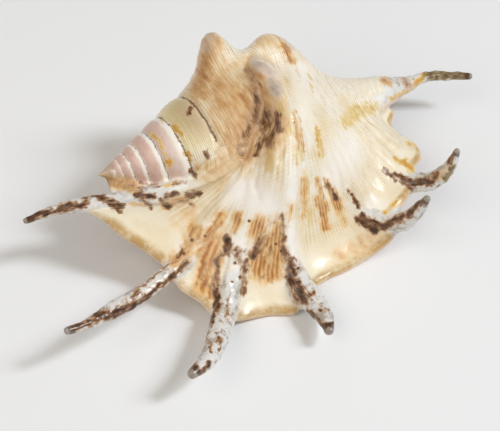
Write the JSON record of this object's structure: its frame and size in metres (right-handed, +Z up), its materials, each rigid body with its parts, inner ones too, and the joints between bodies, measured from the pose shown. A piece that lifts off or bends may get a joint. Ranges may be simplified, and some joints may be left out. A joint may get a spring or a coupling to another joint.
{
  "type": "spider conch shell",
  "caption": "Spider conch shell: a knobbed spiral body and spire with a flared lip that ends in long curved digits and a siphonal canal.",
  "frame": {"origin": "on the surface the shell lies on, below the middle of its bounding box", "axes": "+X along the coiling axis from the spire to the canal, -Y towards the lip and its digits, +Z up"},
  "size_m": [0.1834, 0.1074, 0.0645],
  "materials": {
    "shell": "glossy cream shell with brown streaks"
  },
  "bodies": {
    "root": {"shell": "shell"}
  },
  "joints": []
}
